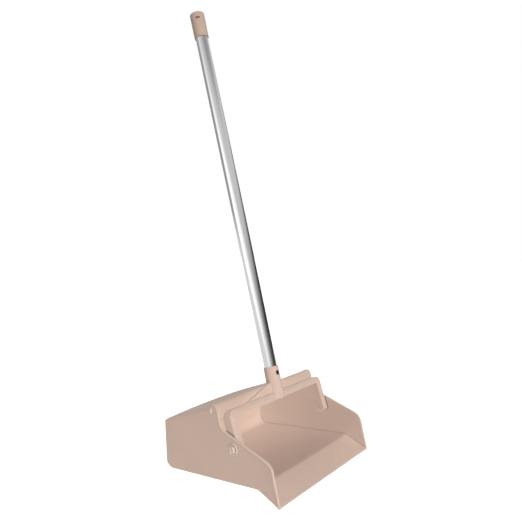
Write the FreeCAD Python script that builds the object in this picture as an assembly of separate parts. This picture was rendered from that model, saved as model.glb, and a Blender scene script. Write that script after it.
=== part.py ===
import FreeCAD, Part
import math
import os

# Long-handled tilting dustpan. Millimetres, +Z up, +X to the right of someone who looks
# at the mouth from the front, +Y from the mouth to the back. The pan is drawn with y = 0
# at its lip and z = 0 on the floor. The handle is drawn upright about its pivot, then leant.

# Pan
PAN_LIP_WIDTH = 279.0       # outside width at the lip
PAN_DEPTH = 249.3           # lip to the back of the rear wall's top
PAN_SIDE_TAPER = 0.02       # each side wall draws in by this much per mm of depth
PAN_WALL = 2.5
REAR_HEIGHT = 82.1          # rear wall, floor to roof
REAR_LEAN = 3.1             # how far the rear wall leans out over its height
REAR_TOP_RADIUS = 12.0
REAR_BOTTOM_RADIUS = 19.0
REAR_CORNER_RADIUS = 5.5    # seen from above
ROOF_SLOPE = 0.37           # rise per mm towards the mouth
ROOF_CROWN = 4.5            # the roof's middle stands this much above its sides
SHOULDER_REAR = 7.0         # rounding between roof and side walls at the back
SHOULDER_FRONT = 12.0       # the same just behind the hem
LIP_THICKNESS = 1.4
LIP_LAND = 3.0              # flat strip under the lip that lies on the floor
CREST_Y = 41.0              # top of the ramp
CREST_RISE = 17.5           # underside of the crest above the floor
CREST_RADIUS = 14.0
FLOOR_REAR_RISE = 0.7       # underside of the floor at the rear wall, before rounding

# Side walls' free edge and the rolled hem along the roof's front
RIM_FRONT_Y = 14.6
RIM_FRONT_Z = 61.2
RIM_FRONT_RADIUS = 20.0
RIM_NECK_RADIUS = 18.0
RIM_SLOPE = 0.3385
HEM_Y = 129.4               # centre of the hem's roll
HEM_Z = 122.5
HEM_RADIUS = 8.5
HEM_FACE_LEAN = 12.0        # degrees, the hem's front face from upright
HEM_FACE_BOTTOM = 112.0
HEM_END_BOTTOM = 100.0
HEM_BACK_BOTTOM = 116.0      # lower end of the bead behind the roll
BEAD_WIDTH = 3.5
BEAD_PROUD = 1.8            # from the side wall
BEAD_LIFT = 0.3             # from the walls' free edge
BEAD_EDGE_RADIUS = 1.2

# Pivot
PIVOT_Y = 90.0
PIVOT_Z = 67.5
PIN_RADIUS = 5.4
PIN_RUNNING_CLEARANCE = 0.05
PIVOT_BOSS_RADIUS = 9.5
PIVOT_BOSS_PROUD = 1.4
PIVOT_BOSS_EDGE_RADIUS = 0.5
PIN_HEAD_RADIUS = 6.6
PIN_HEAD_THICKNESS = 1.6
PIN_HEAD_RECESS = 2.0
PIN_HEAD_CLEARANCE = 0.05   # radial, in the leg's recess
PIN_BARB_RADIUS = 6.6
PIN_BARB_LENGTH = 3.6
PIN_BARB_GAP = 0.3
PIN_TIP_RADIUS = 4.8
PIN_SLOT = 2.6
PIN_SLOT_DEPTH = 13.0

# Tube, plug, screw and grip
TUBE_RADIUS = 11.5
TUBE_WALL = 1.2
TUBE_FIT = 0.05             # radial, in the socket, round the plug and in the grip
TUBE_SHOWN = 621.8          # between socket and grip
GRIP_OVERLAP = 28.0
PLUG_LENGTH = 45.0
PLUG_WALL = 2.4
SCREW_RADIUS = 1.9
SCREW_LENGTH = 8.0
SCREW_POINT_RADIUS = 0.5
SCREW_HEAD_RADIUS = 3.7
SCREW_HEAD_HEIGHT = 1.5
SCREW_HEAD_SIDE = 0.45      # upright part of the head's edge
SCREW_HOLE_RADIUS = 4.2     # in the socket
SCREW_HOLE_BEVEL = 0.8
SCREW_CROSS = 0.8           # width and depth of the driver slots
SCREW_CROSS_REACH = 2.2
GRIP_LENGTH = 48.0
GRIP_RADIUS_TOP = TUBE_RADIUS + 2.1
GRIP_RADIUS_BOTTOM = TUBE_RADIUS + 1.8
GRIP_TOP_RADIUS = 2.5
HANG_SLOT_DROP = 12.6       # below the grip's top
HANG_SLOT_WIDTH = 9.5
HANG_SLOT_HEIGHT = 4.2
HANG_SLOT_TURN = 50.0       # degrees from the front towards the left

# Yoke, about the pivot, with the tube upright
AXIS_BEHIND = 2.0           # the tube's axis runs this far behind the pivot
YOKE_LEG_LEAN = 4.3         # degrees, the legs and bar lean back from the tube by this much
REST_GAP = 0.32             # socket to hem when the handle leans on it
YOKE_SIDE_GAP = 0.6         # leg to pan wall, at the yoke's corner
YOKE_LEG_WIDTH = 14.6
YOKE_FRONT = -9.6
YOKE_BACK = 8.0
YOKE_STEP = 1.4             # the outer strip stands back by this much
YOKE_STRIP = 3.4            # width of the outer strip
YOKE_BAR_BOTTOM = 45.9
YOKE_BAR_TOP = 57.4
YOKE_CORNER_RADIUS = 12.0
YOKE_INNER_RADIUS = 3.0
YOKE_EDGE_RADIUS = 1.0
GUSSET_TOP = 77.5
GUSSET_REACH = 94.0
GUSSET_FOOT = 56.4          # upper corner of each end, sunk into the bar
GUSSET_FRONT = -1.3
GUSSET_BACK = 5.1
SOCKET_TOP = 103.2
SOCKET_BOTTOM = 47.5
SOCKET_RADIUS_TOP = TUBE_RADIUS + 1.6
SOCKET_RADIUS_BOTTOM = TUBE_RADIUS + 2.7
SOCKET_EDGE_RADIUS = 0.7
SOCKET_FLOOR = 55.0         # bottom of the socket's bore
SCREW_HEIGHT = 91.2

BEYOND = 40.0               # how far a cutting shape runs past what it cuts
OVERLAP = 0.2               # how far joined shapes run into each other
SAME_PLACE = 0.01           # how near an edge lies to a surface that it belongs to

V = FreeCAD.Vector
X_AXIS = V(1, 0, 0)
Y_AXIS = V(0, 1, 0)
Z_AXIS = V(0, 0, 1)


# ---------------------------------------------------------------- drawing helpers

def side_view(y, z):
    return V(0, y, z)


def rounded_outline(corners, place):
    """A closed wire through (a, b) or (a, b, radius) corners."""
    points = [V(corner[0], corner[1], 0) for corner in corners]
    radii = [corner[2] if len(corner) > 2 else 0.0 for corner in corners]
    stations = []
    for index, point in enumerate(points):
        before = (point - points[index - 1]).normalize()
        after = (points[(index + 1) % len(points)] - point).normalize()
        radius = radii[index]
        if radius <= 0:
            stations.append((point, None, point))
            continue
        turn = before.getAngle(after)
        reach = radius * math.tan(turn / 2)
        inward = (after - before).normalize()
        centre = point + inward * (radius / math.cos(turn / 2))
        stations.append((point - before * reach, centre - inward * radius, point + after * reach))
    edges = []
    for index, (start, middle, end) in enumerate(stations):
        if middle is not None:
            arc = Part.Arc(place(start.x, start.y), place(middle.x, middle.y), place(end.x, end.y))
            edges.append(arc.toShape())
        following = stations[(index + 1) % len(stations)][0]
        if (following - end).Length > 1e-6:
            edges.append(Part.makeLine(place(end.x, end.y), place(following.x, following.y)))
    return Part.Wire(edges)


def across(wire, half_width):
    """A side-view outline made solid from -half_width to +half_width in X."""
    face = Part.Face(wire)
    face.translate(V(-half_width, 0, 0))
    return face.extrude(V(2 * half_width, 0, 0))


def rod(radius, length, start, direction):
    return Part.makeCylinder(radius, length, start, direction)


def mirrored(shape):
    return shape.mirror(V(0, 0, 0), X_AXIS)


def soften(shape, radius, chosen):
    """Rounds the edges for which chosen(point) holds at both ends."""
    edges = [edge for edge in shape.Edges if all(chosen(vertex.Point) for vertex in edge.Vertexes)]
    return shape.makeFillet(radius, edges)


def at_y(*places):
    return lambda point: any(abs(point.y - y) < SAME_PLACE for y in places)


# ---------------------------------------------------------------- pan

def rear_shift(z):
    """How far the leaning rear wall has moved back at this height."""
    return REAR_LEAN * z / REAR_HEIGHT


def half_width(y, z=0.0):
    """Centre plane to the outside of a side wall; the walls' draft follows the rear's lean."""
    return PAN_LIP_WIDTH / 2 - PAN_SIDE_TAPER * (y - rear_shift(z))


def roof_z(y):
    return REAR_HEIGHT + ROOF_SLOPE * (PAN_DEPTH - y)


def plan_block(inset):
    """The pan's outline from above, carried up along the leaning rear wall."""
    floor_rear = PAN_DEPTH - REAR_LEAN - inset
    radius = REAR_CORNER_RADIUS - inset
    wire = rounded_outline([
        (inset - half_width(-BEYOND), -BEYOND),
        (half_width(-BEYOND) - inset, -BEYOND),
        (half_width(floor_rear) - inset, floor_rear, radius),
        (inset - half_width(floor_rear), floor_rear, radius),
    ], lambda x, y: V(x, y, 0))
    face = Part.Face(wire)
    face.translate(V(0, -rear_shift(BEYOND), -BEYOND))
    height = HEM_Z + 3 * BEYOND
    return face.extrude(V(0, rear_shift(height), height))


def roof_block(inset):
    """Everything under a crowned roof whose shoulders open out towards the mouth."""
    drop = inset * math.hypot(1, ROOF_SLOPE)
    run = PAN_DEPTH - HEM_Y
    wires = []
    for y in (-2 * BEYOND, PAN_DEPTH + BEYOND):
        share = (PAN_DEPTH - y) / run
        radius = SHOULDER_REAR + (SHOULDER_FRONT - SHOULDER_REAR) * share - inset
        top = roof_z(y) - drop
        side = half_width(y, top - radius) - inset
        lean = math.sqrt(0.5) * radius
        marks = [
            V(-side, y, top - radius),
            V(radius - side - lean, y, top - radius + lean),
            V(radius - side, y, top),
            V(0, y, top + ROOF_CROWN),
            V(side - radius, y, top),
            V(side - radius + lean, y, top - radius + lean),
            V(side, y, top - radius),
        ]
        left = Part.Arc(marks[0], marks[1], marks[2]).toShape()
        crown = Part.Arc(marks[2], marks[3], marks[4]).toShape()
        right = Part.Arc(marks[4], marks[5], marks[6]).toShape()
        low_side = half_width(y, -BEYOND) - inset
        low_right = V(low_side, y, -BEYOND)
        low_left = V(-low_side, y, -BEYOND)
        wires.append(Part.Wire([
            left, crown, right,
            Part.makeLine(marks[6], low_right),
            Part.makeLine(low_right, low_left),
            Part.makeLine(low_left, marks[0]),
        ]))
    return Part.makeLoft(wires, True, True)


def rim_line(y):
    """Height of the side walls' sloping edge."""
    return RIM_FRONT_Z + RIM_SLOPE * (y - RIM_FRONT_Y)


def hem_tangent(radius):
    """Where the hem's leaning front face leaves the roll."""
    lean = math.radians(HEM_FACE_LEAN)
    return (HEM_Y - radius * math.cos(lean), HEM_Z + radius * math.sin(lean))


def hem_face_y(z, radius):
    y, top = hem_tangent(radius)
    return y - (top - z) * math.tan(math.radians(HEM_FACE_LEAN))


def front_corner(inset=0.0):
    """Where the front edge and the sloping edge would meet, both drawn in by inset."""
    back_per_up = RIM_FRONT_Y / RIM_FRONT_Z
    run = inset * math.hypot(1, back_per_up)
    drop = inset * math.hypot(1, RIM_SLOPE)
    y = (back_per_up * (rim_line(0) - drop) + run) / (1 - back_per_up * RIM_SLOPE)
    return (y, rim_line(y) - drop, RIM_FRONT_RADIUS - inset)


def neck_corner(inset=0.0):
    """Where the sloping edge would meet the hem's front face, both drawn in by inset."""
    y, z = hem_tangent(HEM_RADIUS - inset)
    slip = math.tan(math.radians(HEM_FACE_LEAN))
    drop = inset * math.hypot(1, RIM_SLOPE)
    height = (rim_line(y) - drop - RIM_SLOPE * slip * z) / (1 - RIM_SLOPE * slip)
    return (y - (z - height) * slip, height, RIM_NECK_RADIUS + inset)


def over_roll(radius):
    """The two corners that carry an outline over the hem's roll, front face to back."""
    top = HEM_Z + radius
    return [(hem_face_y(top, radius), top, radius), (HEM_Y + radius, top, radius)]


def floor_under(y):
    """Underside of the floor behind the crest."""
    share = (y - CREST_Y) / (PAN_DEPTH - REAR_LEAN - CREST_Y)
    return CREST_RISE + (FLOOR_REAR_RISE - CREST_RISE) * share


def pan_outer():
    tangent = hem_tangent(HEM_RADIUS)
    inside_roll = (HEM_Y, roof_z(HEM_Y) - OVERLAP)
    rear = PAN_DEPTH - REAR_LEAN
    side = rounded_outline([
        (0, 0),
        (0, LIP_THICKNESS),
        front_corner(),
        neck_corner(),
        tangent,
        inside_roll,
        (inside_roll[0], roof_z(inside_roll[0]) + ROOF_CROWN),
        (PAN_DEPTH, REAR_HEIGHT + ROOF_CROWN, REAR_TOP_RADIUS),
        (rear, floor_under(rear), REAR_BOTTOM_RADIUS),
        (CREST_Y, CREST_RISE, CREST_RADIUS - PAN_WALL),
        (LIP_LAND, 0),
    ], side_view)
    body = across(side, PAN_LIP_WIDTH)
    body = body.common(roof_block(0))
    roll = rod(HEM_RADIUS, 2 * PAN_LIP_WIDTH, V(-PAN_LIP_WIDTH, HEM_Y, HEM_Z), X_AXIS)
    back = HEM_Y + HEM_RADIUS
    apron = across(rounded_outline([
        tangent,
        (back, HEM_Z),
        (back, HEM_END_BOTTOM),
        (hem_face_y(HEM_END_BOTTOM, HEM_RADIUS) + RIM_NECK_RADIUS, HEM_END_BOTTOM),
        (hem_face_y(HEM_FACE_BOTTOM, HEM_RADIUS), HEM_FACE_BOTTOM),
    ], side_view), PAN_LIP_WIDTH)
    return body.fuse([roll, apron]).common(plan_block(0))


def pan_cavity():
    wall_drop = PAN_WALL * math.hypot(1, ROOF_SLOPE)
    inner_radius = HEM_RADIUS - PAN_WALL
    outer_tangent = hem_tangent(HEM_RADIUS)
    inner_tangent = hem_tangent(inner_radius)
    ramp = (CREST_RISE + PAN_WALL - LIP_THICKNESS) / CREST_Y
    rear = PAN_DEPTH - REAR_LEAN - PAN_WALL
    side = rounded_outline([
        (-BEYOND, LIP_THICKNESS - ramp * BEYOND),
        (CREST_Y, CREST_RISE + PAN_WALL, CREST_RADIUS),
        (rear, floor_under(rear) + PAN_WALL, REAR_BOTTOM_RADIUS - PAN_WALL),
        (PAN_DEPTH - PAN_WALL, REAR_HEIGHT + ROOF_CROWN - PAN_WALL, REAR_TOP_RADIUS - PAN_WALL),
        (HEM_Y + inner_radius, roof_z(HEM_Y + inner_radius) + ROOF_CROWN - wall_drop),
        (HEM_Y, HEM_Z),
        inner_tangent,
        (hem_face_y(HEM_FACE_BOTTOM, inner_radius), HEM_FACE_BOTTOM),
        (hem_face_y(HEM_FACE_BOTTOM, HEM_RADIUS), HEM_FACE_BOTTOM),
        outer_tangent,
        (outer_tangent[0], HEM_Z + BEYOND),
        (-BEYOND, HEM_Z + BEYOND),
    ], side_view)
    bin_space = across(side, PAN_LIP_WIDTH).common(roof_block(PAN_WALL))
    roll = rod(inner_radius, 2 * PAN_LIP_WIDTH, V(-PAN_LIP_WIDTH, HEM_Y, HEM_Z), X_AXIS)
    return bin_space.fuse(roll).common(plan_block(PAN_WALL))


def on_side(inset):
    """Picks points on the outside of the side walls drawn in by inset."""
    return lambda point: abs(abs(point.x) + inset - half_width(point.y, point.z)) < SAME_PLACE


def rim_bead():
    """The bead round the side walls' free edge, over the hem's ends and down their backs.
    Its inner part is cut away with the cavity."""
    outer_radius = HEM_RADIUS + BEAD_LIFT
    inner_radius = HEM_RADIUS - BEAD_WIDTH
    along_floor = math.hypot(RIM_FRONT_Y, RIM_FRONT_Z) / RIM_FRONT_Z
    outline = rounded_outline([
        (-BEAD_LIFT * along_floor, 0),
        front_corner(-BEAD_LIFT),
        neck_corner(-BEAD_LIFT),
        *over_roll(outer_radius),
        (HEM_Y + outer_radius, HEM_BACK_BOTTOM),
        (HEM_Y + inner_radius, HEM_BACK_BOTTOM),
        *reversed(over_roll(inner_radius)),
        neck_corner(BEAD_WIDTH),
        front_corner(BEAD_WIDTH),
        (BEAD_WIDTH * along_floor, 0),
    ], side_view)
    strip = across(outline, PAN_LIP_WIDTH).common(plan_block(-BEAD_PROUD)).cut(plan_block(2 * PAN_WALL))
    return soften(strip, BEAD_EDGE_RADIUS, on_side(-BEAD_PROUD))


def pin_hole_radius():
    return PIN_RADIUS + PIN_RUNNING_CLEARANCE


def pivot_bosses():
    """A low round boss outside each side wall, round the pin's hole."""
    block = rod(PIVOT_BOSS_RADIUS, PAN_LIP_WIDTH * 2, V(-PAN_LIP_WIDTH, PIVOT_Y, PIVOT_Z), X_AXIS)
    bosses = block.common(plan_block(-PIVOT_BOSS_PROUD)).cut(plan_block(PAN_WALL / 2))
    return soften(bosses, PIVOT_BOSS_EDGE_RADIUS, on_side(-PIVOT_BOSS_PROUD))


def pivot_holes():
    return rod(pin_hole_radius(), PAN_LIP_WIDTH * 2, V(-PAN_LIP_WIDTH, PIVOT_Y, PIVOT_Z), X_AXIS)


def pan_body():
    shell = pan_outer().fuse([rim_bead(), pivot_bosses()])
    return shell.cut(pan_cavity()).cut(pivot_holes()).removeSplitter()


# ---------------------------------------------------------------- yoke and handle, upright

def yoke_half_width():
    return half_width(HEM_Y - HEM_RADIUS) - PAN_WALL - YOKE_SIDE_GAP


def front_view(y):
    return lambda x, z: V(x, y, z)


def slab(wire, front, back):
    """A front-view outline drawn at y = 0, made solid from front to back."""
    face = Part.Face(wire)
    face.translate(V(0, front, 0))
    return face.extrude(V(0, back - front, 0))


def u_frame(inset, front, back):
    """The bar and both legs, drawn in from the outside by inset."""
    outside = yoke_half_width() - inset
    inside = yoke_half_width() - YOKE_LEG_WIDTH
    foot = YOKE_FRONT
    wire = rounded_outline([
        (-outside, foot),
        (-outside, YOKE_BAR_TOP - inset, YOKE_CORNER_RADIUS - inset),
        (outside, YOKE_BAR_TOP - inset, YOKE_CORNER_RADIUS - inset),
        (outside, foot),
        (inside, foot),
        (inside, YOKE_BAR_BOTTOM, YOKE_INNER_RADIUS),
        (-inside, YOKE_BAR_BOTTOM, YOKE_INNER_RADIUS),
        (-inside, foot),
    ], front_view(0))
    return slab(wire, front, back)


def leg_ends():
    """Rounds the legs' lower ends about the pivot, seen from the side."""
    depth = (YOKE_BACK - YOKE_FRONT) / 2
    wire = rounded_outline([
        (YOKE_FRONT, -depth, depth),
        (YOKE_BACK, -depth, depth),
        (YOKE_BACK, SOCKET_TOP),
        (YOKE_FRONT, SOCKET_TOP),
    ], side_view)
    return across(wire, PAN_LIP_WIDTH)


def gussets():
    wire = rounded_outline([
        (-GUSSET_REACH, GUSSET_FOOT - YOKE_STRIP),
        (-GUSSET_REACH, GUSSET_FOOT),
        (0, GUSSET_TOP + (GUSSET_TOP - GUSSET_FOOT) * SOCKET_RADIUS_TOP / GUSSET_REACH),
        (GUSSET_REACH, GUSSET_FOOT),
        (GUSSET_REACH, GUSSET_FOOT - YOKE_STRIP),
    ], front_view(0))
    web = slab(wire, GUSSET_FRONT, GUSSET_BACK)
    return soften(web, YOKE_EDGE_RADIUS, lambda point: point.z > GUSSET_FOOT - SAME_PLACE
                  and at_y(GUSSET_FRONT, GUSSET_BACK)(point))


def tube_axis(height):
    return V(0, AXIS_BEHIND, height)


def yoke():
    step = YOKE_FRONT + YOKE_STEP
    raised = soften(u_frame(YOKE_STRIP, YOKE_FRONT, 0), YOKE_EDGE_RADIUS, at_y(YOKE_FRONT))
    full = soften(u_frame(0, step, YOKE_BACK), YOKE_EDGE_RADIUS, at_y(step, YOKE_BACK))
    legs_and_bar = full.fuse(raised).common(leg_ends())
    legs_and_bar.rotate(V(0, 0, 0), X_AXIS, -YOKE_LEG_LEAN)
    socket = Part.makeCone(SOCKET_RADIUS_BOTTOM, SOCKET_RADIUS_TOP, SOCKET_TOP - SOCKET_BOTTOM,
                           tube_axis(SOCKET_BOTTOM), Z_AXIS)
    solid = legs_and_bar.fuse([
        gussets(),
        soften(socket, SOCKET_EDGE_RADIUS, lambda point: abs(point.z - SOCKET_TOP) < SAME_PLACE),
    ])
    bore = rod(TUBE_RADIUS + TUBE_FIT, SOCKET_TOP, tube_axis(SOCKET_FLOOR), Z_AXIS)
    screw_hole = rod(SCREW_HOLE_RADIUS, BEYOND, tube_axis(SCREW_HEIGHT), -Y_AXIS)
    bevel_start = tube_axis(SCREW_HEIGHT) - Y_AXIS * (SOCKET_RADIUS_TOP - SCREW_HOLE_BEVEL)
    bevel = Part.makeCone(SCREW_HOLE_RADIUS, SCREW_HOLE_RADIUS + 2 * SCREW_HOLE_BEVEL, 2 * SCREW_HOLE_BEVEL,
                          bevel_start, -Y_AXIS)
    holes = [bore, screw_hole, bevel]
    for side in (-1, 1):
        inner = side * (yoke_half_width() - YOKE_LEG_WIDTH)
        start = V(inner - side * BEYOND, 0, 0)
        reach = V(side, 0, 0)
        holes.append(rod(pin_hole_radius(), BEYOND + 2 * YOKE_LEG_WIDTH, start, reach))
        holes.append(rod(PIN_HEAD_RADIUS + PIN_HEAD_CLEARANCE, BEYOND + PIN_HEAD_RECESS, start, reach))
    return solid.cut(Part.makeCompound(holes)).removeSplitter()


def pivot_pin():
    """The right pin: a head inside the leg, a shank through leg and wall, a split barb outside."""
    head_face = yoke_half_width() - YOKE_LEG_WIDTH + PIN_HEAD_RECESS
    wall_outside = half_width(PIVOT_Y - PIVOT_BOSS_RADIUS, PIVOT_Z) + PIVOT_BOSS_PROUD + PIN_BARB_GAP
    profile = Part.makePolygon([
        V(head_face - PIN_HEAD_THICKNESS, 0, 0),
        V(head_face - PIN_HEAD_THICKNESS, 0, PIN_HEAD_RADIUS),
        V(head_face, 0, PIN_HEAD_RADIUS),
        V(head_face, 0, PIN_RADIUS),
        V(wall_outside, 0, PIN_RADIUS),
        V(wall_outside, 0, PIN_BARB_RADIUS),
        V(wall_outside + PIN_BARB_LENGTH, 0, PIN_TIP_RADIUS),
        V(wall_outside + PIN_BARB_LENGTH, 0, 0),
        V(head_face - PIN_HEAD_THICKNESS, 0, 0),
    ])
    pin = Part.Face(profile).revolve(V(0, 0, 0), X_AXIS, 360)
    slot_start = wall_outside + PIN_BARB_LENGTH - PIN_SLOT_DEPTH
    split = Part.makeBox(BEYOND, PIN_SLOT, 4 * PIN_BARB_RADIUS,
                         V(slot_start, -PIN_SLOT / 2, -2 * PIN_BARB_RADIUS))
    return pin.cut(split)


def tube_top():
    return SOCKET_TOP + TUBE_SHOWN + GRIP_OVERLAP


def screw_pilot(radius):
    """The screw's hole, from its head's seat on the tube to its point."""
    return rod(radius, SCREW_LENGTH, tube_axis(SCREW_HEIGHT) - Y_AXIS * TUBE_RADIUS, Y_AXIS)


def handle_tube():
    length = tube_top() - SOCKET_FLOOR
    outside = rod(TUBE_RADIUS, length, tube_axis(SOCKET_FLOOR), Z_AXIS)
    inside = rod(TUBE_RADIUS - TUBE_WALL, length, tube_axis(SOCKET_FLOOR), Z_AXIS)
    return outside.cut([inside, screw_pilot(SCREW_RADIUS + TUBE_FIT)])


def tube_plug():
    radius = TUBE_RADIUS - TUBE_WALL - TUBE_FIT
    body = rod(radius, PLUG_LENGTH, tube_axis(SOCKET_FLOOR), Z_AXIS)
    hollow = rod(radius - PLUG_WALL - SCREW_LENGTH / 2, PLUG_LENGTH,
                 tube_axis(SOCKET_FLOOR + PLUG_WALL), Z_AXIS)
    return body.cut([hollow, screw_pilot(SCREW_RADIUS + TUBE_FIT)])


def tube_screw():
    """Drawn along its own axis with its head's seat at zero, then set against the tube."""
    dome = SCREW_HEAD_HEIGHT - SCREW_HEAD_SIDE
    outline = Part.Wire([
        Part.Arc(V(0, -SCREW_HEAD_HEIGHT, 0),
                 V(SCREW_HEAD_RADIUS / 2, -SCREW_HEAD_HEIGHT + dome / 4, 0),
                 V(SCREW_HEAD_RADIUS, -SCREW_HEAD_SIDE, 0)).toShape(),
        Part.makePolygon([
            V(SCREW_HEAD_RADIUS, -SCREW_HEAD_SIDE, 0),
            V(SCREW_HEAD_RADIUS, 0, 0),
            V(SCREW_RADIUS, 0, 0),
            V(SCREW_RADIUS, SCREW_LENGTH - SCREW_RADIUS, 0),
            V(SCREW_POINT_RADIUS, SCREW_LENGTH, 0),
            V(0, SCREW_LENGTH, 0),
            V(0, -SCREW_HEAD_HEIGHT, 0),
        ]),
    ])
    screw = Part.Face(outline).revolve(V(0, 0, 0), Y_AXIS, 360)
    half = SCREW_CROSS / 2
    corners = []
    for quarter in range(4):
        turn = FreeCAD.Rotation(Z_AXIS, 90 * quarter)
        for x, y in ((half, half), (SCREW_CROSS_REACH, half), (SCREW_CROSS_REACH, -half)):
            corner = turn.multVec(V(x, -y, 0))
            corners.append((corner.x, corner.y))
    recess = slab(rounded_outline(corners, front_view(0)), -BEYOND, SCREW_CROSS - SCREW_HEAD_HEIGHT)
    screw = screw.cut(recess)
    screw.translate(tube_axis(SCREW_HEIGHT) - Y_AXIS * TUBE_RADIUS)
    return screw


def hand_grip():
    bottom = SOCKET_TOP + TUBE_SHOWN
    top = bottom + GRIP_LENGTH
    body = Part.makeCone(GRIP_RADIUS_BOTTOM, GRIP_RADIUS_TOP, GRIP_LENGTH, tube_axis(bottom), Z_AXIS)
    body = soften(body, GRIP_TOP_RADIUS, lambda point: abs(point.z - top) < SAME_PLACE)
    bore = rod(TUBE_RADIUS + TUBE_FIT, GRIP_OVERLAP, tube_axis(bottom), Z_AXIS)
    half_width_of_slot = HANG_SLOT_WIDTH / 2
    round_end = HANG_SLOT_HEIGHT / 2
    slot = rounded_outline([
        (x * half_width_of_slot, z * round_end, round_end) for x, z in ((-1, -1), (1, -1), (1, 1), (-1, 1))
    ], front_view(0))
    hole = slab(slot, -BEYOND, BEYOND)
    hole.rotate(V(0, 0, 0), Z_AXIS, -HANG_SLOT_TURN)
    hole.translate(tube_axis(top - HANG_SLOT_DROP))
    return body.cut([bore, hole])


# ---------------------------------------------------------------- assembly

def handle_lean():
    """Degrees back from upright at which the socket comes to rest on the hem's roll."""
    to_hem = math.hypot(HEM_Y - PIVOT_Y, HEM_Z - PIVOT_Z)
    taper = (SOCKET_RADIUS_BOTTOM - SOCKET_RADIUS_TOP) / (SOCKET_TOP - SOCKET_BOTTOM)
    offset = HEM_RADIUS + REST_GAP + SOCKET_RADIUS_BOTTOM + AXIS_BEHIND
    contact_height = math.sqrt(to_hem ** 2 - offset ** 2)
    offset -= taper * (contact_height - SOCKET_BOTTOM)
    bearing = math.atan2(HEM_Y - PIVOT_Y, HEM_Z - PIVOT_Z)
    return math.degrees(bearing - math.asin(offset / to_hem))


def lean_back(shape):
    """From upright about the pivot to its rest on the hem."""
    placed = shape.copy()
    placed.rotate(V(0, 0, 0), X_AXIS, -handle_lean())
    placed.translate(V(0, PIVOT_Y, PIVOT_Z))
    return placed


right_pin = pivot_pin()
nodes = {
    "pan_body": pan_body(),
    "yoke": lean_back(yoke()),
    "pivot_pin_left": lean_back(mirrored(right_pin)),
    "pivot_pin_right": lean_back(right_pin),
    "handle_tube": lean_back(handle_tube()),
    "tube_plug": lean_back(tube_plug()),
    "tube_screw": lean_back(tube_screw()),
    "hand_grip": lean_back(hand_grip()),
}

# The row's origin is on the floor under the middle of the whole object.
middle_y = round(Part.makeCompound(list(nodes.values())).optimalBoundingBox().Center.y, 1)
print(f"row origin is {middle_y} mm behind the lip; pivot at y {PIVOT_Y - middle_y:.1f} z {PIVOT_Z}")
print(f"handle leans back {handle_lean():.2f} degrees")

os.makedirs("parts", exist_ok=True)
for name, shape in nodes.items():
    shape.translate(V(0, -middle_y, 0))
    for solid in shape.Solids:
        print(name, "valid" if solid.isValid() else "INVALID", round(solid.Volume / 1000, 2), "cm3")
    shape.exportStep(f"parts/{name}.step")
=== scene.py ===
"""Long-handled tilting dustpan: finishes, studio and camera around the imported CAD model."""
import math

import bpy
from mathutils import Matrix, Vector

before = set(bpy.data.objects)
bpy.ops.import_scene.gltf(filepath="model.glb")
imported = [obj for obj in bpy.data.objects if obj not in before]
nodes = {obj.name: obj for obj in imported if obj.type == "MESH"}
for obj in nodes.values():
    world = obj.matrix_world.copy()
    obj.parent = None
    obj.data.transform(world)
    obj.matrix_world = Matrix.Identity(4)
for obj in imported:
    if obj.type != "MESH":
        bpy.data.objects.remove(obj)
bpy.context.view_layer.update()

# The tube leans back from upright by about this much, and its drawing lines run along it.
TUBE_LEAN = math.radians(14.26)

PAN_EDGE_RADIUS = 0.0015
GRIP_EDGE_RADIUS = 0.0009
PLUG_EDGE_RADIUS = 0.0006
SCREW_EDGE_RADIUS = 0.0003

BEIGE = (0.665, 0.488, 0.398, 1)
BEIGE_DRIFT = (0.640, 0.467, 0.380, 1)
# Pale edge colour for the beige plastics: partly rubbed wear, partly a painted highlight along the edges.
BEIGE_EDGE_HIGHLIGHT_AND_WEAR = (0.93, 0.79, 0.70, 1)
BEIGE_SHADED = (0.13, 0.08, 0.06, 1)
BEIGE_BOUNCED = (0.74, 0.71, 0.69, 1)
# The grip's colours: its own beige, a little less blue than the pan's, darkened by about a fifth as painted
# shade for the light falling off towards the top.
GRIP_BEIGE_WITH_PAINTED_SHADE = (0.52, 0.38, 0.295, 1)
GRIP_DRIFT_WITH_PAINTED_SHADE = (0.49, 0.36, 0.28, 1)
PLUG_BLACK = (0.05, 0.05, 0.055, 1)
PLUG_DRIFT = (0.04, 0.04, 0.045, 1)
# The plug's pale edge colour: partly rubbed wear, partly a painted highlight.
PLUG_EDGE_HIGHLIGHT_AND_WEAR = (0.09, 0.09, 0.095, 1)
PLUG_SHADED = (0.02, 0.02, 0.02, 1)
ALUMINIUM = (0.84, 0.84, 0.85, 1)
ALUMINIUM_BRIGHT = (0.90, 0.90, 0.90, 1)
SCREW_BLACK = (0.055, 0.045, 0.04, 1)
SCREW_WORN = (0.22, 0.19, 0.17, 1)
FLOOR_WHITE = (0.93, 0.93, 0.93, 1)
FLOOR_WHITE_DRIFT = (0.95, 0.95, 0.95, 1)
WHITE = (1, 1, 1, 1)
STUDIO_GREY = (0.8, 0.8, 0.8, 1)

FLOOR_HALF_WIDTH = 6.0
FLOOR_GLOW = 0.55           # light the floor gives to the camera alone, so that it reads as white
AMBIENT = 0.11              # light from all round on matt surfaces

# Directions are in degrees from +X towards +Y.
WINDOW_AZIMUTH = 165
WINDOW_FRAME_AZIMUTH = 232  # the window stops where a direction turns away from this one
WINDOW_STRENGTH = 1.6
WINDOW_NARROWNESS = 2.2
REAR_WALL_AZIMUTH = 85
REAR_WALL_STRENGTH = 0.35
UNLIT_STRENGTH = 0.04       # the studio away from the window and the wall
# Where each band of the studio begins and is complete, as the sine of its elevation, and how bright it is.
UPPER_BANDS = ((0.20, 0.46, 0.78), (0.53, 0.66, 0.38))

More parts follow.
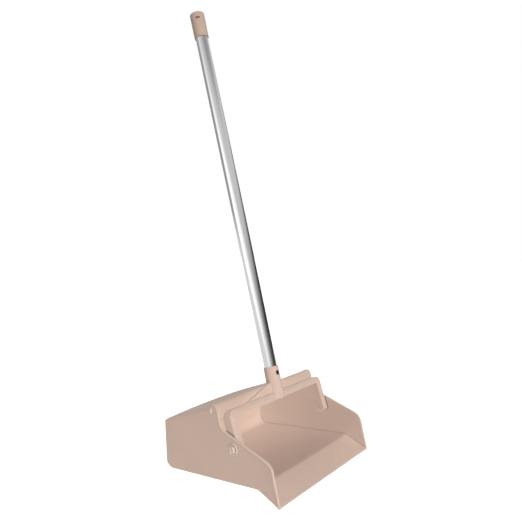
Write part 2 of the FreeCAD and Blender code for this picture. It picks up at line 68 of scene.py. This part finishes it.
CAMERA_PLACE = (-0.78133, -0.60838, 0.40695)
CAMERA_HEADING = math.radians(-52.6)
CAMERA_PITCH = math.radians(3.105)
CAMERA_ROLL = math.radians(-0.69)
CAMERA_LENS = 38.262


# ---------------------------------------------------------------- node helpers

def add(tree, kind, sockets=None, **settings):
    """A new node with the given settings, and with values on its own input sockets."""
    node = tree.nodes.new(kind)
    for name, value in settings.items():
        setattr(node, name, value)
    for socket, value in (sockets or {}).items():
        node.inputs[socket].default_value = value
    return node


def group_with(name, inputs, outputs):
    """An empty shader node group; inputs are (name, kind, default), outputs (name, kind)."""
    tree = bpy.data.node_groups.new(name, "ShaderNodeTree")
    for label, kind, default in inputs:
        socket = tree.interface.new_socket(name=label, in_out="INPUT", socket_type=kind)
        socket.default_value = default
    for label, kind in outputs:
        tree.interface.new_socket(name=label, in_out="OUTPUT", socket_type=kind)
    return tree, add(tree, "NodeGroupInput"), add(tree, "NodeGroupOutput")


def colour_mix(tree, first=None, second=None):
    """A colour mix node's factor, first colour, second colour and result sockets."""
    node = add(tree, "ShaderNodeMix", data_type="RGBA")
    colours = [socket for socket in node.inputs if socket.type == "RGBA"]
    result = [socket for socket in node.outputs if socket.type == "RGBA"][0]
    for socket, value in zip(colours, (first, second)):
        if value is not None:
            socket.default_value = value
    return node.inputs[0], colours[0], colours[1], result


def new_material(name):
    """A new material with its node tree and its Principled shader."""
    material = bpy.data.materials.new(name)
    material.use_nodes = True
    tree = material.node_tree
    return material, tree, tree.nodes["Principled BSDF"]


# ---------------------------------------------------------------- shared effects

def moulding_grain_group():
    """Fine spark-eroded texture, slow flow marks and a colour that drifts a little."""
    tree, given, put = group_with("Moulding grain", [
        ("Colour", "NodeSocketColor", BEIGE),
        ("Drift colour", "NodeSocketColor", BEIGE_DRIFT),
        ("Grains per metre", "NodeSocketFloat", 1400.0),
        ("Roughness", "NodeSocketFloat", 0.4),
        ("Roughness drift", "NodeSocketFloat", 0.08),
    ], [("Colour", "NodeSocketColor"), ("Roughness", "NodeSocketFloat"), ("Height", "NodeSocketFloat")])
    place = add(tree, "ShaderNodeTexCoord")
    flow = add(tree, "ShaderNodeTexNoise", {"Scale": 9.0, "Detail": 3.0, "Distortion": 0.8})
    grain = add(tree, "ShaderNodeTexNoise", {"Detail": 2.0})
    speck = add(tree, "ShaderNodeTexVoronoi")
    spread = add(tree, "ShaderNodeMapRange", {"From Min": 0.35, "From Max": 0.65})
    drift, first, second, drifted = colour_mix(tree)
    rough = add(tree, "ShaderNodeMath", operation="MULTIPLY_ADD")
    speck_on_grain = add(tree, "ShaderNodeMath", {1: 0.4}, operation="MULTIPLY_ADD")
    join = tree.links.new
    for texture in (flow, grain, speck):
        join(place.outputs["Object"], texture.inputs["Vector"])
    for texture in (grain, speck):
        join(given.outputs["Grains per metre"], texture.inputs["Scale"])
    join(flow.outputs["Fac"], spread.inputs["Value"])
    join(spread.outputs["Result"], drift)
    join(given.outputs["Colour"], first)
    join(given.outputs["Drift colour"], second)
    join(drifted, put.inputs["Colour"])
    join(spread.outputs["Result"], rough.inputs[0])
    join(given.outputs["Roughness drift"], rough.inputs[1])
    join(given.outputs["Roughness"], rough.inputs[2])
    join(rough.outputs["Value"], put.inputs["Roughness"])
    join(speck.outputs["Distance"], speck_on_grain.inputs[0])
    join(grain.outputs["Fac"], speck_on_grain.inputs[2])
    join(speck_on_grain.outputs["Value"], put.inputs["Height"])
    return tree


def edge_mask_group():
    """White where the surface turns sharply, and apart from that where it is closely shut in, as a mask for
    painted shade.
    """
    tree, given, put = group_with("Edge mask", [
        ("Radius", "NodeSocketFloat", 0.0012),
        ("Strength", "NodeSocketFloat", 1.0),
    ], [("Mask", "NodeSocketFloat"), ("Crevice shade", "NodeSocketFloat"), ("Rounded normal", "NodeSocketVector")])
    bevel = add(tree, "ShaderNodeBevel", samples=6)
    face = add(tree, "ShaderNodeNewGeometry")
    agree = add(tree, "ShaderNodeVectorMath", operation="DOT_PRODUCT")
    mask = add(tree, "ShaderNodeMapRange", {"From Min": 0.99, "From Max": 0.91})
    scaled = add(tree, "ShaderNodeMath", operation="MULTIPLY", use_clamp=True)
    # Ambient occlusion over a few millimetres finds the tight corners that get painted shade.
    shut_in = add(tree, "ShaderNodeAmbientOcclusion", {"Distance": 0.003}, samples=8)
    crevice_shade = add(tree, "ShaderNodeMapRange", {"From Min": 0.93, "From Max": 0.40})
    join = tree.links.new
    join(shut_in.outputs["AO"], crevice_shade.inputs["Value"])
    join(crevice_shade.outputs["Result"], put.inputs["Crevice shade"])
    join(given.outputs["Radius"], bevel.inputs["Radius"])
    join(bevel.outputs["Normal"], agree.inputs[0])
    join(face.outputs["Normal"], agree.inputs[1])
    join(agree.outputs["Value"], mask.inputs["Value"])
    join(mask.outputs["Result"], scaled.inputs[0])
    join(given.outputs["Strength"], scaled.inputs[1])
    join(scaled.outputs["Value"], put.inputs["Mask"])
    join(bevel.outputs["Normal"], put.inputs["Rounded normal"])
    return tree


moulding_grain = moulding_grain_group()
edge_mask = edge_mask_group()


# ---------------------------------------------------------------- finishes

def moulded_plastic(name, colour, drift, edge_highlight_and_wear, shaded, grains_per_metre, roughness, edge_radius):
    """Satin injection-moulded plastic, paler on its edges, partly as rubbed wear and partly as a painted
    highlight, and with painted shade in tight corners.
    """
    material, tree, shader = new_material(name)
    grain = add(tree, "ShaderNodeGroup", {
        "Colour": colour,
        "Drift colour": drift,
        "Grains per metre": grains_per_metre,
        "Roughness": roughness,
    }, node_tree=moulding_grain)
    edges = add(tree, "ShaderNodeGroup", {"Radius": edge_radius, "Strength": 0.9}, node_tree=edge_mask)
    # Tight corners are darkened towards the shaded colour: painted shade.
    shade_factor, open_colour, _, corner_shaded_colour = colour_mix(tree, second=shaded)
    # Edges are paled towards the edge colour: partly rubbed wear, partly a painted highlight.
    edge_light_and_wear_factor, bare, _, rubbed = colour_mix(tree, second=edge_highlight_and_wear)
    bump = add(tree, "ShaderNodeBump", {"Strength": 0.12, "Distance": 0.0002})
    join = tree.links.new
    join(edges.outputs["Crevice shade"], shade_factor)
    join(grain.outputs["Colour"], open_colour)
    join(edges.outputs["Mask"], edge_light_and_wear_factor)
    join(corner_shaded_colour, bare)
    # Light thrown from wall to wall is kept pale, so the bin's inside doesn't turn orange.
    sight = add(tree, "ShaderNodeLightPath")
    bounced, own_colour, _, plastic_colour = colour_mix(tree, second=BEIGE_BOUNCED)
    join(sight.outputs["Is Diffuse Ray"], bounced)
    join(rubbed, own_colour)
    join(plastic_colour, shader.inputs["Base Color"])
    join(grain.outputs["Roughness"], shader.inputs["Roughness"])
    join(grain.outputs["Height"], bump.inputs["Height"])
    join(edges.outputs["Rounded normal"], bump.inputs["Normal"])
    join(bump.outputs["Normal"], shader.inputs["Normal"])
    shader.inputs["IOR"].default_value = 1.49
    shader.inputs["Specular IOR Level"].default_value = 0.45
    return material


def drawn_aluminium(name):
    """Satin anodised tube with fine drawing lines along its length."""
    material, tree, shader = new_material(name)
    place = add(tree, "ShaderNodeTexCoord")
    along = add(tree, "ShaderNodeMapping", {"Rotation": (TUBE_LEAN, 0, 0), "Scale": (900, 900, 6)})
    lines = add(tree, "ShaderNodeTexNoise", {"Scale": 1.0, "Detail": 4.0})
    cloud = add(tree, "ShaderNodeTexNoise", {"Scale": 30.0})
    rough = add(tree, "ShaderNodeMapRange", {"To Min": 0.12, "To Max": 0.20})
    tint, _, _, tinted = colour_mix(tree, ALUMINIUM, ALUMINIUM_BRIGHT)
    bump = add(tree, "ShaderNodeBump", {"Strength": 0.12, "Distance": 0.0001})
    join = tree.links.new
    join(place.outputs["Object"], along.inputs["Vector"])
    join(along.outputs["Vector"], lines.inputs["Vector"])
    join(place.outputs["Object"], cloud.inputs["Vector"])
    join(lines.outputs["Fac"], bump.inputs["Height"])
    join(lines.outputs["Fac"], tint)
    join(cloud.outputs["Fac"], rough.inputs["Value"])
    join(tinted, shader.inputs["Base Color"])
    join(rough.outputs["Result"], shader.inputs["Roughness"])
    join(bump.outputs["Normal"], shader.inputs["Normal"])
    shader.inputs["Metallic"].default_value = 1.0
    return material


def blackened_steel(name):
    """Dark plated screw, paler on its rubbed edges."""
    material, tree, shader = new_material(name)
    edges = add(tree, "ShaderNodeGroup", {"Radius": SCREW_EDGE_RADIUS, "Strength": 0.8}, node_tree=edge_mask)
    tint, _, _, tinted = colour_mix(tree, SCREW_BLACK, SCREW_WORN)
    place = add(tree, "ShaderNodeTexCoord")
    cloud = add(tree, "ShaderNodeTexNoise", {"Scale": 900.0})
    rough = add(tree, "ShaderNodeMapRange", {"To Min": 0.3, "To Max": 0.5})
    join = tree.links.new
    join(place.outputs["Object"], cloud.inputs["Vector"])
    join(cloud.outputs["Fac"], rough.inputs["Value"])
    join(edges.outputs["Mask"], tint)
    join(tinted, shader.inputs["Base Color"])
    join(rough.outputs["Result"], shader.inputs["Roughness"])
    shader.inputs["Metallic"].default_value = 1.0
    return material


pan_finish = moulded_plastic("pan plastic", BEIGE, BEIGE_DRIFT, BEIGE_EDGE_HIGHLIGHT_AND_WEAR, BEIGE_SHADED,
                             grains_per_metre=1500, roughness=0.38, edge_radius=PAN_EDGE_RADIUS)
# The grip is painted darker than the pan, as shade for the dimmer light at the top.
grip_finish = moulded_plastic("grip plastic with painted shade", GRIP_BEIGE_WITH_PAINTED_SHADE, GRIP_DRIFT_WITH_PAINTED_SHADE, BEIGE_EDGE_HIGHLIGHT_AND_WEAR, BEIGE_SHADED,
                              grains_per_metre=1700, roughness=0.42, edge_radius=GRIP_EDGE_RADIUS)
plug_finish = moulded_plastic("plug plastic", PLUG_BLACK, PLUG_DRIFT, PLUG_EDGE_HIGHLIGHT_AND_WEAR, PLUG_SHADED,
                              grains_per_metre=1200, roughness=0.5, edge_radius=PLUG_EDGE_RADIUS)
tube_finish = drawn_aluminium("drawn aluminium")
screw_finish = blackened_steel("blackened steel")

finishes = {
    "pan_body": pan_finish,
    "yoke": pan_finish,
    "pivot_pin_left": pan_finish,
    "pivot_pin_right": pan_finish,
    "hand_grip": grip_finish,
    "tube_plug": plug_finish,
    "handle_tube": tube_finish,
    "tube_screw": screw_finish,
}
for name, finish in finishes.items():
    materials = nodes[name].data.materials
    materials.clear()
    materials.append(finish)


# ---------------------------------------------------------------- studio

def stage_floor():
    """A pale floor, wide enough to have no visible end."""
    mesh = bpy.data.meshes.new("floor")
    left, right = -FLOOR_HALF_WIDTH, FLOOR_HALF_WIDTH
    corners = [(left, left, 0), (right, left, 0), (right, right, 0), (left, right, 0)]
    mesh.from_pydata(corners, [], [(0, 1, 2, 3)])
    floor = bpy.data.objects.new("floor", mesh)
    bpy.context.scene.collection.objects.link(floor)
    material, tree, shader = new_material("pale floor")
    place = add(tree, "ShaderNodeTexCoord")
    cloud = add(tree, "ShaderNodeTexNoise", {"Scale": 2.0})
    tint, _, _, tinted = colour_mix(tree, FLOOR_WHITE, FLOOR_WHITE_DRIFT)
    sight = add(tree, "ShaderNodeLightPath")
    glow = add(tree, "ShaderNodeMath", {1: FLOOR_GLOW}, operation="MULTIPLY")
    join = tree.links.new
    join(place.outputs["Object"], cloud.inputs["Vector"])
    join(cloud.outputs["Fac"], tint)
    join(tinted, shader.inputs["Base Color"])
    join(sight.outputs["Is Camera Ray"], glow.inputs[0])
    join(glow.outputs["Value"], shader.inputs["Emission Strength"])
    shader.inputs["Emission Color"].default_value = WHITE
    shader.inputs["Roughness"].default_value = 0.9
    shader.inputs["Specular IOR Level"].default_value = 0.1
    mesh.materials.append(material)


def compass(azimuth, elevation=0):
    """A unit direction; azimuth in degrees from +X towards +Y, elevation above the floor."""
    turn = math.radians(azimuth)
    rise = math.radians(elevation)
    return (math.cos(turn) * math.cos(rise), math.sin(turn) * math.cos(rise), math.sin(rise))


def sun(name, direction, strength, softness, shadow=True):
    """A distant lamp left out of reflections; softness is its width in degrees."""
    data = bpy.data.lights.new(name, "SUN")
    data.energy = strength
    data.angle = math.radians(softness)
    data.use_shadow = shadow
    light = bpy.data.objects.new(name, data)
    light.rotation_euler = Vector(direction).to_track_quat("Z", "Y").to_euler()
    light.visible_glossy = False
    bpy.context.scene.collection.objects.link(light)


def facing(tree, sky, azimuth):
    """How squarely a direction of the sky faces an azimuth, from -1 to 1."""
    towards = add(tree, "ShaderNodeVectorMath", {1: compass(azimuth)}, operation="DOT_PRODUCT")
    tree.links.new(sky, towards.inputs[0])
    return towards.outputs["Value"]


def smooth_rise(tree, value, low, high, top=1.0):
    """Nought where the value is below low, top where it is above high, smooth between them."""
    rise = add(tree, "ShaderNodeMapRange", {"From Min": low, "From Max": high, "To Max": top},
               interpolation_type="SMOOTHSTEP")
    tree.links.new(value, rise.inputs["Value"])
    return rise.outputs["Result"]


def studio_brightness(tree):
    """A broad window on one side, a dim wall at the rear, and two even bands above them."""
    sky = add(tree, "ShaderNodeTexCoord").outputs["Generated"]
    join = tree.links.new
    half_turned = add(tree, "ShaderNodeMath", {1: 0.5, 2: 0.5}, operation="MULTIPLY_ADD")
    pane = add(tree, "ShaderNodeMath", {1: WINDOW_NARROWNESS}, operation="POWER")
    framed = add(tree, "ShaderNodeMath", operation="MULTIPLY")
    window = add(tree, "ShaderNodeMath", {1: WINDOW_STRENGTH, 2: UNLIT_STRENGTH}, operation="MULTIPLY_ADD")
    with_wall = add(tree, "ShaderNodeMath", operation="ADD")
    window_frame = smooth_rise(tree, facing(tree, sky, WINDOW_FRAME_AZIMUTH), low=-0.35, high=0.25)
    rear_wall = smooth_rise(tree, facing(tree, sky, REAR_WALL_AZIMUTH), low=0.2, high=0.9,
                            top=REAR_WALL_STRENGTH)
    join(facing(tree, sky, WINDOW_AZIMUTH), half_turned.inputs[0])
    join(half_turned.outputs["Value"], pane.inputs[0])
    join(pane.outputs["Value"], framed.inputs[0])
    join(window_frame, framed.inputs[1])
    join(framed.outputs["Value"], window.inputs[0])
    join(rear_wall, with_wall.inputs[0])
    join(window.outputs["Value"], with_wall.inputs[1])
    split = add(tree, "ShaderNodeSeparateXYZ")
    join(sky, split.inputs["Vector"])
    brightness = with_wall.outputs["Value"]
    for begins, complete, band_strength in UPPER_BANDS:
        blend = add(tree, "ShaderNodeMix", {"B": band_strength}, data_type="FLOAT")
        join(smooth_rise(tree, split.outputs["Z"], begins, complete), blend.inputs["Factor"])
        join(brightness, blend.inputs["A"])
        brightness = blend.outputs["Result"]
    return brightness


def surround():
    """White to the eye, dim to matt surfaces, and a studio that only reflections see."""
    world = bpy.data.worlds.new("surround")
    bpy.context.scene.world = world
    world.use_nodes = True
    tree = world.node_tree
    eye = tree.nodes["Background"]
    eye.inputs["Color"].default_value = WHITE
    eye.inputs["Strength"].default_value = 1.0
    ambient = add(tree, "ShaderNodeBackground", {"Color": WHITE, "Strength": AMBIENT})
    studio = add(tree, "ShaderNodeBackground", {"Color": STUDIO_GREY})
    sight = add(tree, "ShaderNodeLightPath")
    reflected = add(tree, "ShaderNodeMixShader")
    seen = add(tree, "ShaderNodeMixShader")
    join = tree.links.new
    join(studio_brightness(tree), studio.inputs["Strength"])
    join(sight.outputs["Is Glossy Ray"], reflected.inputs[0])
    join(ambient.outputs["Background"], reflected.inputs[1])
    join(studio.outputs["Background"], reflected.inputs[2])
    join(sight.outputs["Is Camera Ray"], seen.inputs[0])
    join(reflected.outputs["Shader"], seen.inputs[1])
    join(eye.outputs["Background"], seen.inputs[2])
    join(seen.outputs["Shader"], tree.nodes["World Output"].inputs["Surface"])


def camera():
    """A camera level with the middle of the handle, in front of the pan and to one side."""
    data = bpy.data.cameras.new("camera")
    data.sensor_width = 36.0
    data.lens = CAMERA_LENS
    data.clip_start = 0.01
    eye = bpy.data.objects.new("camera", data)
    eye.matrix_world = (
        Matrix.Translation(CAMERA_PLACE)
        @ Matrix.Rotation(CAMERA_HEADING, 4, "Z")
        @ Matrix.Rotation(math.pi / 2 - CAMERA_PITCH, 4, "X")
        @ Matrix.Rotation(CAMERA_ROLL, 4, "Z")
    )
    bpy.context.scene.collection.objects.link(eye)
    bpy.context.scene.camera = eye


stage_floor()
surround()
# The front lamp casts no shadow, so it reaches the bin's inside evenly.
sun("front", compass(243, 29), strength=2.72, softness=15, shadow=False)
sun("overhead", compass(80, 50), strength=1.05, softness=30)
camera()
bpy.context.scene.view_settings.view_transform = "Standard"
